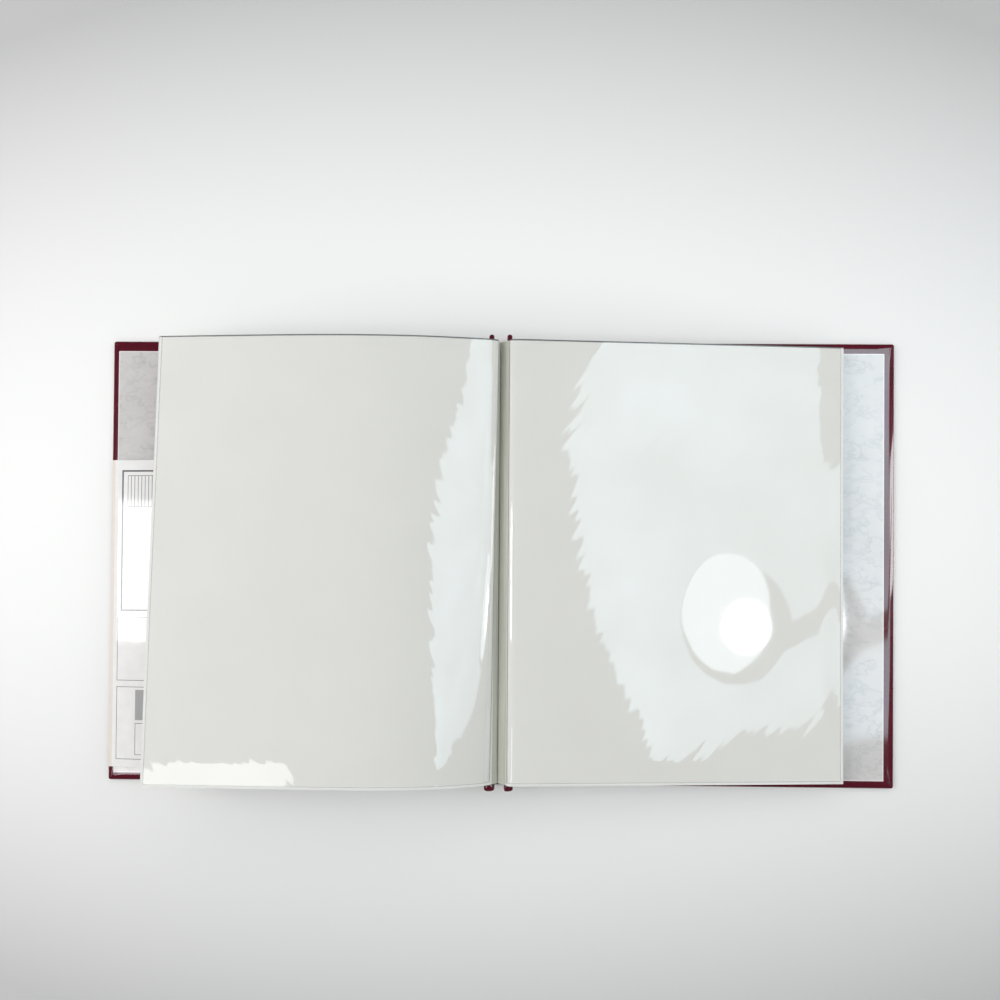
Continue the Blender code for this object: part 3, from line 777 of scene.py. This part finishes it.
def cover_outline(inner, outer, half_height, radius):
    """Outer edge of a cover from the joint at the tail, round the fore-edge, to the joint at the head.

    Gives each place, and the place that it folds in to at the inner edge of the turn-in."""
    fold_out, fold_half = outer - TURN_IN_WIDTH, half_height - TURN_IN_WIDTH
    edge = [(x, -half_height) for x in np.linspace(inner, outer - radius, COVER_END_ROWS)[:-1]]
    edge += [(outer - radius + radius * math.cos(angle), -half_height + radius + radius * math.sin(angle))
             for angle in np.radians(np.linspace(-90, 0, COVER_CORNER_ROWS))]
    head = [(x, -y) for x, y in reversed(edge)]
    straight = half_height - radius
    edge += [(outer, y) for y in np.linspace(-straight, straight, COVER_FORE_ROWS)[1:-1]]
    edge = np.array(edge + head)
    fold = np.stack([np.minimum(edge[:, 0], fold_out), np.clip(edge[:, 1], -fold_half, fold_half)], -1)
    return edge, fold


def wrap_profile(height):
    """Section of a turned-in edge: how far in from the edge, and how high."""
    radius = COVER_FOOT_RADIUS
    turn_in = [(step, height) for step in TURN_IN_STEPS]
    over = [(COVER_EDGE_WIDTH * (1 - math.sin(angle)), height - COVER_EDGE_HEIGHT * (1 - math.cos(angle)))
            for angle in np.radians(np.linspace(0, 90, COVER_EDGE_ROWS))]
    under = [(radius - radius * math.cos(angle), radius - radius * math.sin(angle))
             for angle in np.radians(np.linspace(0, 90, COVER_FOOT_ROWS))]
    return np.array(turn_in + over + under + [(TURN_IN_WIDTH, 0.0)])


def mitre_lift(edge, depth, outer, half_height):
    """Extra height where the fore-edge turn-in laps the head and tail ones at a mitred corner."""
    past_fore = outer - edge[:, None, 0]
    past_end = half_height - np.abs(edge[:, None, 1])
    fore_side = past_fore < past_end - SAME_PLACE
    near = np.exp(-past_end / MITRE_REACH)
    fade = 1 - smooth_step(*MITRE_FADE, depth[None, :])
    return np.where(fore_side, MITRE_LIFT, 0.0) * near * fade


def make_wrap(side):
    """Leatherette that covers the outside of a board and folds in over three edges."""
    label = COVER_NAMES[side] + "_cover"
    low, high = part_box(label + "_wrap")
    inner, outer = sorted((abs(low.x), abs(high.x)))
    edge, fold = cover_outline(inner, outer, high.y, COVER_CORNER_RADIUS)
    profile = wrap_profile(high.z - low.z)
    depth = profile[:, 0]
    inward = fold - edge
    share = depth[None, :] / np.maximum(np.linalg.norm(inward, axis=1), TURN_IN_WIDTH)[:, None]
    share[:, depth >= TURN_IN_WIDTH] = 1.0
    plan = edge[:, None, :] + inward[:, None, :] * share[..., None]
    on_top = profile[:, 1] > (high.z - low.z) * ON_TOP_SHARE
    z = profile[:, 1] + low.z + np.where(on_top, mitre_lift(edge, depth, outer, high.y), 0.0)
    points = np.stack([side * plan[..., 0], plan[..., 1], z], -1)

    form = bmesh.new()
    grid = [[form.verts.new(point) for point in row] for row in points]
    for first, second in zip(grid, grid[1:]):
        for column in range(len(first) - 1):
            form.faces.new((first[column], second[column], second[column + 1], first[column + 1]))
    form.faces.new([row[-1] for row in grid])
    bmesh.ops.remove_doubles(form, verts=form.verts, dist=SAME_PLACE)
    bmesh.ops.recalc_face_normals(form, faces=form.faces)
    bottom = min(form.faces, key=lambda face: face.calc_center_median().z)
    if bottom.normal.z > 0:
        bmesh.ops.reverse_faces(form, faces=form.faces)
    name = label + "_leatherette"
    piece = add_piece(name, mesh_of(form, name), "leatherette")
    skin = piece.modifiers.new("skin", "SOLIDIFY")
    skin.thickness = WRAP_THICKNESS
    skin.offset = -1
    apply_modifiers(piece)
    smooth(piece.data)
    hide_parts(label + "_wrap")
    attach(piece, label)


def apply_modifiers(piece):
    """Keeps the evaluated mesh and drops the modifiers."""
    bpy.context.view_layer.update()
    made = piece.evaluated_get(bpy.context.evaluated_depsgraph_get())
    mesh = bpy.data.meshes.new_from_object(made)
    mesh.name = piece.name
    piece.modifiers.clear()
    piece.data = mesh


def make_lining(side):
    """Lining sheet laid over the turn-ins, very slightly cockled."""
    label = COVER_NAMES[side] + "_cover"
    low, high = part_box(label + "_lining")
    high.y -= LINING_HEAD_INSET
    x = spread(low.x, high.x, LINING_STEP, LINING_EDGE_STEPS)
    y = spread(low.y, high.y, LINING_STEP, LINING_EDGE_STEPS)
    gap_x = np.minimum(x - low.x, high.x - x)[:, None]
    gap_y = np.minimum(y - low.y, high.y - y)[None, :]
    gap = np.minimum(gap_x, gap_y)
    sway = LINING_WAVE_SWAY * np.sin(y[None, :] / LINING_WAVE_ALONG)
    cockle = LINING_WAVE * (np.sin(x[:, None] / LINING_WAVE_ACROSS + sway) - 1)
    top = high.z + cockle * smooth_step(0, LINING_WAVE_EDGE, gap)
    flat_x, flat_y = np.broadcast_arrays(x[:, None], y[None, :])
    upper = np.stack([flat_x, flat_y, top], -1)
    lower = np.stack([flat_x, flat_y, np.full_like(top, low.z)], -1)
    mesh = sheet_mesh(label + "_lining_sheet", upper, lower, False)
    add_attribute(mesh, "border", 1 - smooth_step(*LINING_BORDER, gap))
    add_piece(label + "_lining_sheet", mesh, "lining", label, [label + "_lining"])


def make_joint(side):
    """Flexible leatherette between the spine and a cover."""
    label = COVER_NAMES[side] + "_joint_leatherette"
    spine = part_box("spine_wrap")[1].x
    wrap_low, wrap_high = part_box(COVER_NAMES[side] + "_cover_wrap")
    cover = min(abs(wrap_low.x), abs(wrap_high.x))
    height = WRAP_THICKNESS / 2
    x = np.linspace(spine - JOINT_OVERLAP, cover + JOINT_OVERLAP, JOINT_ROWS)
    path = np.stack([side * x, np.full_like(x, height)], -1)
    mesh = ribbon_mesh(label, path, WRAP_THICKNESS, wrap_high.y, RIBBON_COLUMNS, side == LEFT)
    piece = add_piece(label, mesh, "leatherette")
    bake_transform(piece)


# Binding flaps


def box_mesh(name, low, high, rounding=0.0, segments=1):
    form = bmesh.new()
    bmesh.ops.create_cube(form, size=1.0)
    centre = (Vector(low) + Vector(high)) / 2
    size = Vector(high) - Vector(low)
    bmesh.ops.scale(form, vec=size, verts=form.verts)
    bmesh.ops.translate(form, vec=centre, verts=form.verts)
    if rounding:
        bmesh.ops.bevel(form, geom=form.edges[:], offset=rounding, segments=segments, profile=0.5,
                        affect="EDGES", clamp_overlap=True)
    return mesh_of(form, name)


def cut_away(piece, mesh):
    """Takes a closed mesh out of a piece."""
    tool = add_object("cutter", mesh)
    cut = piece.modifiers.new("cut", "BOOLEAN")
    cut.operation = "DIFFERENCE"
    cut.solver = "EXACT"
    cut.object = tool
    apply_modifiers(piece)
    bpy.data.objects.remove(tool, do_unlink=True)


def hole_mesh(y, z, reach):
    form = bmesh.new()
    turn = Matrix.Rotation(math.radians(90), 4, "Y")
    bmesh.ops.create_cone(form, cap_ends=True, segments=POST_HOLE_SIDES, radius1=POST_HOLE_RADIUS,
                          radius2=POST_HOLE_RADIUS, depth=2 * reach,
                          matrix=Matrix.Translation((0, y, z)) @ turn)
    return mesh_of(form, "hole")


def swell_tail(mesh, side, low, high):
    """Tail end of a flap, swollen where its sleeve is folded in beyond the pages."""
    form = bmesh.new()
    form.from_mesh(mesh)
    start = LEAF_HALF + FLARE_START
    for y in np.linspace(start, start + FLARE_RAMP, FLARE_STEPS):
        everything = form.verts[:] + form.edges[:] + form.faces[:]
        bmesh.ops.bisect_plane(form, geom=everything, plane_co=(0, -y, 0), plane_no=(0, 1, 0))
    to_left, to_right = TAIL_FLARE[side]
    middle = (low.x + high.x) / 2
    half = (high.x - low.x) / 2
    for vertex in form.verts:
        share = float(smooth_step(start, start + FLARE_RAMP, -vertex.co.y))
        across = (vertex.co.x - middle) / half
        vertex.co.x += share * across * (to_right if across > 0 else to_left)
    form.to_mesh(mesh)
    form.free()


def make_flap(side):
    """Leatherette sleeve of a binding flap, with soft rounded ends."""
    label = COVER_NAMES[side] + "_flap"
    low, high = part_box(label + "_wrap")
    foot = low.z - 2 * FLAP_ROUND
    rounded = box_mesh(label, (low.x, low.y, foot), high, FLAP_ROUND, FLAP_ROUND_ROWS)
    piece = add_piece(label + "_sleeve", rounded, "leatherette")
    sole = box_mesh("foot", (low.x - MM, low.y - MM, foot - MM), (high.x + MM, high.y + MM, low.z))
    cut_away(piece, sole)
    skin = Vector((FLAP_WRAP_THICKNESS,) * 3)
    room_low = low + skin
    room_low.z = low.z - MM
    cut_away(piece, box_mesh("room", room_low, high - skin))
    for number in POST_NUMBERS:
        post_low, post_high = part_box(f"post_barrel_{number}")
        middle = (post_low + post_high) / 2
        cut_away(piece, hole_mesh(middle.y, middle.z, 2 * abs(high.x)))
    swell_tail(piece.data, side, low, high)
    smooth(piece.data)
    paint(piece.data, "leatherette")
    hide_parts(label + "_wrap")
    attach(piece, "binding")


# Card


def make_card():
    """Loose card, arched a little between the lining and the pages."""
    low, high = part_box("index_card")
    x = spread(low.x, high.x, CARD_STEP_ACROSS, CARD_EDGE_STEPS)
    y = spread(low.y, high.y, CARD_STEP_ALONG)
    across = (x - low.x)[:, None]
    width = high.x - low.x
    along = ((y - low.y) / (high.y - low.y))[None, :]
    swell = CARD_ARCH_ENDS + CARD_ARCH_SWELL * along * (1 - along)
    arch = CARD_ARCH * np.sin(math.pi * across / width) * swell
    ripple = CARD_RIPPLE * np.sin(across / CARD_RIPPLE_LENGTH + CARD_RIPPLE_TURN * along)
    ripple = ripple * smooth_step(0, CARD_RIPPLE_START, across) * (1 - smooth_step(*CARD_RIPPLE_FADE, across))
    droop = CARD_EDGE_DROOP * (1 - smooth_step(0, CARD_DROOP_WIDTH, across))
    rise = np.maximum(arch + ripple, 0) - droop
    rise = np.broadcast_to(rise, (len(x), len(y)))
    flat_x, flat_y = np.broadcast_arrays(x[:, None], y[None, :])
    upper = np.stack([flat_x, flat_y, high.z + rise], -1)
    lower = np.stack([flat_x, flat_y, low.z + rise], -1)
    mesh = sheet_mesh("index_card_sheet", upper, lower, False)
    add_uv(mesh, "card", flat_x - low.x, flat_y - low.y)
    piece = add_piece("index_card_sheet", mesh, "printed_card", "index_card", ["index_card"])
    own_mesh(piece)


def dress_cad_nodes():
    """Solids whose shape is right keep it and get their finish."""
    slots = {"spine_wrap": "leatherette", "spine_board": "greyboard"}
    for cover in COVER_NAMES.values():
        slots[cover + "_cover_board"] = "greyboard"
        slots[cover + "_flap_board"] = "greyboard"
    for number in POST_NUMBERS:
        slots[f"post_barrel_{number}"] = "post_metal"
        slots[f"post_screw_{number}"] = "post_metal"
    for side in SIDE_NAMES.values():
        for number in range(1, LEAVES_PER_SIDE + 1):
            slots[f"{side}_leaf_{number}_strip"] = "binding_strip"
    for name, slot in slots.items():
        node = frame["nodes"][name]
        paint(node.data, slot)


# Floor, light and camera

FLOOR_HALF = 4.0
# Floor colour from near the album to far away: the darker far colour is painted shade
FLOOR_NEAR = (0.905, 0.90, 0.885)
FLOOR_FAR_SHADE = (0.52, 0.515, 0.51)
FLOOR_CENTRE = (0.0, 0.035)
FLOOR_STRETCH = (1.18, 2.02)
FLOOR_FADE = (0.11, 0.56)
WORLD_COLOUR = (0.8, 0.8, 0.8, 1.0)
WORLD_ZENITH = 0.46
WORLD_HORIZON = 0.58
WORLD_TURN = (0.50, 0.82)
WORLD_SEEN = 0.52
WORLD_MIRRORED = 0.04
LAMP_HEIGHT = 1.5
SOFTBOX_TINT = (0.74, 0.92, 1.0)
SOFTBOX_LEVELS = (2.45, 1.55)
SOFTBOX_SPAN = (0.42, 1.12)
SOFTBOX_PATCHES = (0.80, 1.16)
SOFTBOX_OUTLINE = (
    (0.485, 0.66), (0.385, 0.29), (0.415, 0.03), (0.465, -0.155), (0.565, -0.36), (0.600, -0.465),
    (0.69, -0.435), (0.80, -0.37), (0.913, -0.375), (1.03, -0.335), (1.375, -0.21), (1.375, 0.25),
    (1.07, 0.28), (1.015, 0.35), (1.01, 0.66),
)

# Lamp that the right page mirrors, and the dark stand behind it: a back, a shade beside it and an arm
SPOT_PLACE = (0.350, -0.050, 0.50)
SPOT_SIZE = (0.113, 0.143)
SPOT_LEVEL = 3.35
SPOT_TINT = (0.84, 0.955, 1.0)
CORE_PLACE = (0.369, -0.065, 0.49)
CORE_SIZE = (0.065, 0.065)
CORE_LEVEL = 9.0
STAND_PLACE = (0.3641, -0.0641)
STAND_RADII = (0.0687, 0.0728)
STAND_ARM = ((0.397, -0.095), (0.810, 0.108))
STAND_ARM_HALF = 0.0176
STAND_HEIGHTS = (0.503, 0.506, 0.509)
STAND_COLOUR = (0.2, 0.2, 0.2, 1.0)
SPOT_BACK_MARGIN = 0.5 * MM
OVAL_TURNS_DEG = np.arange(0, 360, 10)

# Lamps mirrored in the card, in a corner of the left page and in the folds at the gutter, and the main light
CARD_LAMP_PLACE = (-1.21, 0.0, LAMP_HEIGHT)
CARD_LAMP_SIZE = (0.36, 0.36)
CARD_LAMP_LEVEL = 10.0
CORNER_LAMP_PLACE = (-0.725, -0.48, LAMP_HEIGHT)
CORNER_LAMP_SIZE = (0.39, 0.22)
CORNER_LAMP_LEVEL = 2.6
KEY_PLACE = (-1.10, 0.06, 0.75)
KEY_SIZE = (0.7, 1.0)
KEY_LEVEL = 2.35
EDGE_LAMP_PLACE = (1.10, 0.10, 0.55)
EDGE_LAMP_SIZE = (0.25, 0.9)
EDGE_LAMP_LEVEL = 4.0

# Broad lamps that light the pages and the floor evenly: name, place, size and brightness of the face
BROAD_LAMPS = (
    ("fill", (0.75, -1.05, 0.80), (0.9, 0.7), 0.8),
    ("left_window", (-0.85, 0.60, 0.80), (0.8, 0.6), 0.65),
    ("right_window", (0.70, 0.50, 0.66), (0.6, 0.5), 0.7),
    ("head_window", (0.0, 0.95, 0.75), (1.2, 0.5), 0.75),
    ("left_side", (-0.75, -0.05, 0.45), (0.5, 0.8), 0.95),
    ("right_side", (0.75, 0.05, 0.45), (0.5, 0.8), 0.75),
)

CAMERA_TARGET = (0.25 * MM, -1.52 * MM)
CAMERA_DISTANCE = 597.9 * MM
CAMERA_TILT_DEG = (-0.75, -0.99, -0.45)
CAMERA_SENSOR = 36.0
CAMERA_LENS = 32.4
CAMERA_SHIFT = 0.065
CAMERA_NEAR = 10 * MM

# Faces of clear film that a ray may pass, so that an empty pocket shows the leaf behind it
FILM_FACES_SEEN = 32


def stage_piece(name, points, faces, look):
    mesh = mesh_from(name, points, faces)
    mesh.materials.append(look)
    piece = add_object(name, mesh)
    return piece


def make_floor():
    """Pale floor with painted shade that darkens it away from the album."""
    look = new_look("floor")
    place = object_place(look)
    offset = vector_node(look, "SUBTRACT", place, (*FLOOR_CENTRE, 0.0))
    stretched = vector_node(look, "MULTIPLY", offset, (*FLOOR_STRETCH, 0.0))
    reach = vector_node(look, "DOT_PRODUCT", stretched, stretched)
    # Painted shade: the floor colour darkens away from the album
    colour = ramp(look, rescale(look, reach, 0.0, 1.0, *FLOOR_FADE), (0.0, FLOOR_NEAR), (1.0, FLOOR_FAR_SHADE))
    painted(look, Base_Color=colour, Roughness=0.95)
    half = FLOOR_HALF
    corners = [(-half, -half, 0), (half, -half, 0), (half, half, 0), (-half, half, 0)]
    stage_piece("floor", corners, [(0, 1, 2, 3)], look)


def softbox_look():
    """Bluish daylight panel, brighter on the side towards the album."""
    look = new_look("softbox")
    parts = add_node(look, "ShaderNodeSeparateXYZ", {"Vector": object_place(look)})
    level = rescale(look, parts.outputs["X"], *SOFTBOX_LEVELS, *SOFTBOX_SPAN)
    patches = rescale(look, noise(look, object_place(look), 5.0, 2.0), *SOFTBOX_PATCHES, 0.3, 0.7)
    level = math_node(look, "MULTIPLY", level, patches)
    glow = add_node(look, "ShaderNodeEmission", {"Color": (*SOFTBOX_TINT, 1.0), "Strength": level})
    return finish_look(look, glow.outputs[0])


def lamp(name, place, size, level, shape="RECTANGLE", aim=(0.0, 0.0, 0.0), tint=(1.0, 1.0, 1.0)):
    """Soft lamp with a given brightness of its face."""
    light = bpy.data.lights.new(name, "AREA")
    light.shape = shape
    light.size, light.size_y = size
    area = size[0] * size[1] * (math.pi / 4 if shape == "ELLIPSE" else 1.0)
    light.energy = level * math.pi * area
    light.color = tint
    piece = add_object(name, light)
    piece.location = place
    piece.rotation_euler = (Vector(aim) - Vector(place)).to_track_quat("-Z", "Y").to_euler()
    piece.visible_camera = False
    return piece


def oval(place, radii, height):
    return [(place[0] + radii[0] * math.cos(turn), place[1] + radii[1] * math.sin(turn), height)
            for turn in np.radians(OVAL_TURNS_DEG)]


def under(place):
    return place[0], place[1], 0.0


def make_lights():
    """Softbox, spot and stand that the pages mirror, and the lamps that light the rest."""
    outline = [(x, y, LAMP_HEIGHT) for x, y in SOFTBOX_OUTLINE]
    softbox = stage_piece("softbox", outline, [tuple(range(len(outline)))], softbox_look())
    softbox.visible_camera = False

    back_height, shade_height, arm_height = STAND_HEIGHTS
    back = oval(SPOT_PLACE, [size / 2 + SPOT_BACK_MARGIN for size in SPOT_SIZE], back_height)
    shade = oval(STAND_PLACE, STAND_RADII, shade_height)
    start, end = STAND_ARM
    arm = [(x, y + across * STAND_ARM_HALF, arm_height)
           for (x, y), across in ((start, -1), (end, -1), (end, 1), (start, 1))]
    dark = painted(new_look("stand"), Base_Color=STAND_COLOUR, Roughness=0.9)
    for name, points in (("spot_back", back), ("spot_shade", shade), ("spot_arm", arm)):
        stage_piece(name, points, [tuple(range(len(points)))], dark).visible_camera = False

    lamp("spot", SPOT_PLACE, SPOT_SIZE, SPOT_LEVEL, "ELLIPSE", under(SPOT_PLACE), SPOT_TINT)
    lamp("core", CORE_PLACE, CORE_SIZE, CORE_LEVEL, "ELLIPSE", under(CORE_PLACE))
    lamp("card_lamp", CARD_LAMP_PLACE, CARD_LAMP_SIZE, CARD_LAMP_LEVEL, aim=under(CARD_LAMP_PLACE))
    lamp("corner_lamp", CORNER_LAMP_PLACE, CORNER_LAMP_SIZE, CORNER_LAMP_LEVEL, aim=under(CORNER_LAMP_PLACE))
    lamp("key", KEY_PLACE, KEY_SIZE, KEY_LEVEL).visible_glossy = False
    lamp("edge_lamp", EDGE_LAMP_PLACE, EDGE_LAMP_SIZE, EDGE_LAMP_LEVEL).visible_diffuse = False
    for name, place, size, level in BROAD_LAMPS:
        lamp(name, place, size, level).visible_glossy = False


def background(world, colour, strength):
    return add_node(world, "ShaderNodeBackground", {"Color": colour, "Strength": strength}).outputs[0]


def make_world():
    """Soft sky that lights the album: plain where the camera sees it, and dark in glossy faces."""
    world = bpy.data.worlds.new("studio")
    bpy.context.scene.world = world
    world.use_nodes = True
    world.node_tree.nodes.clear()
    up = add_node(world, "ShaderNodeTexCoord").outputs["Generated"]
    height = add_node(world, "ShaderNodeSeparateXYZ", {"Vector": up}).outputs["Z"]
    inputs = {"Value": height, "From Min": WORLD_TURN[0], "From Max": WORLD_TURN[1],
              "To Min": WORLD_HORIZON, "To Max": WORLD_ZENITH}
    level = add_node(world, "ShaderNodeMapRange", inputs, interpolation_type="SMOOTHSTEP").outputs["Result"]
    light = background(world, WORLD_COLOUR, level)
    mirrored = background(world, WHITE, WORLD_MIRRORED)
    seen = background(world, WHITE, WORLD_SEEN)
    ray = add_node(world, "ShaderNodeLightPath").outputs
    bounced = mix_shaders(world, ray["Is Glossy Ray"], light, mirrored)
    sky = mix_shaders(world, ray["Is Camera Ray"], bounced, seen)
    add_node(world, "ShaderNodeOutputWorld", {"Surface": sky})


def make_camera():
    """Camera above the album, almost straight down."""
    data = bpy.data.cameras.new("camera")
    data.sensor_width = CAMERA_SENSOR
    data.lens = CAMERA_LENS
    data.shift_y = CAMERA_SHIFT
    data.clip_start = CAMERA_NEAR
    camera = add_object("camera", data)
    turn = Matrix.Identity(3)
    for angle, axis in zip(CAMERA_TILT_DEG, "XYZ"):
        turn = Matrix.Rotation(math.radians(angle), 3, axis) @ turn
    to_world = turn.transposed()
    place = Vector((*CAMERA_TARGET, 0)) + to_world @ Vector((0, 0, CAMERA_DISTANCE))
    camera.matrix_world = Matrix.Translation(place) @ to_world.to_4x4()
    bpy.context.scene.camera = camera


for album_side in (LEFT, RIGHT):
    make_wrap(album_side)
    make_lining(album_side)
    make_joint(album_side)
    make_flap(album_side)
    for leaf_number in range(1, LEAVES_PER_SIDE + 1):
        make_leaf(album_side, leaf_number)
make_card()
dress_cad_nodes()
make_floor()
make_lights()
make_world()
make_camera()
bpy.context.scene.view_settings.view_transform = "Standard"
bpy.context.scene.cycles.transparent_max_bounces = FILM_FACES_SEEN
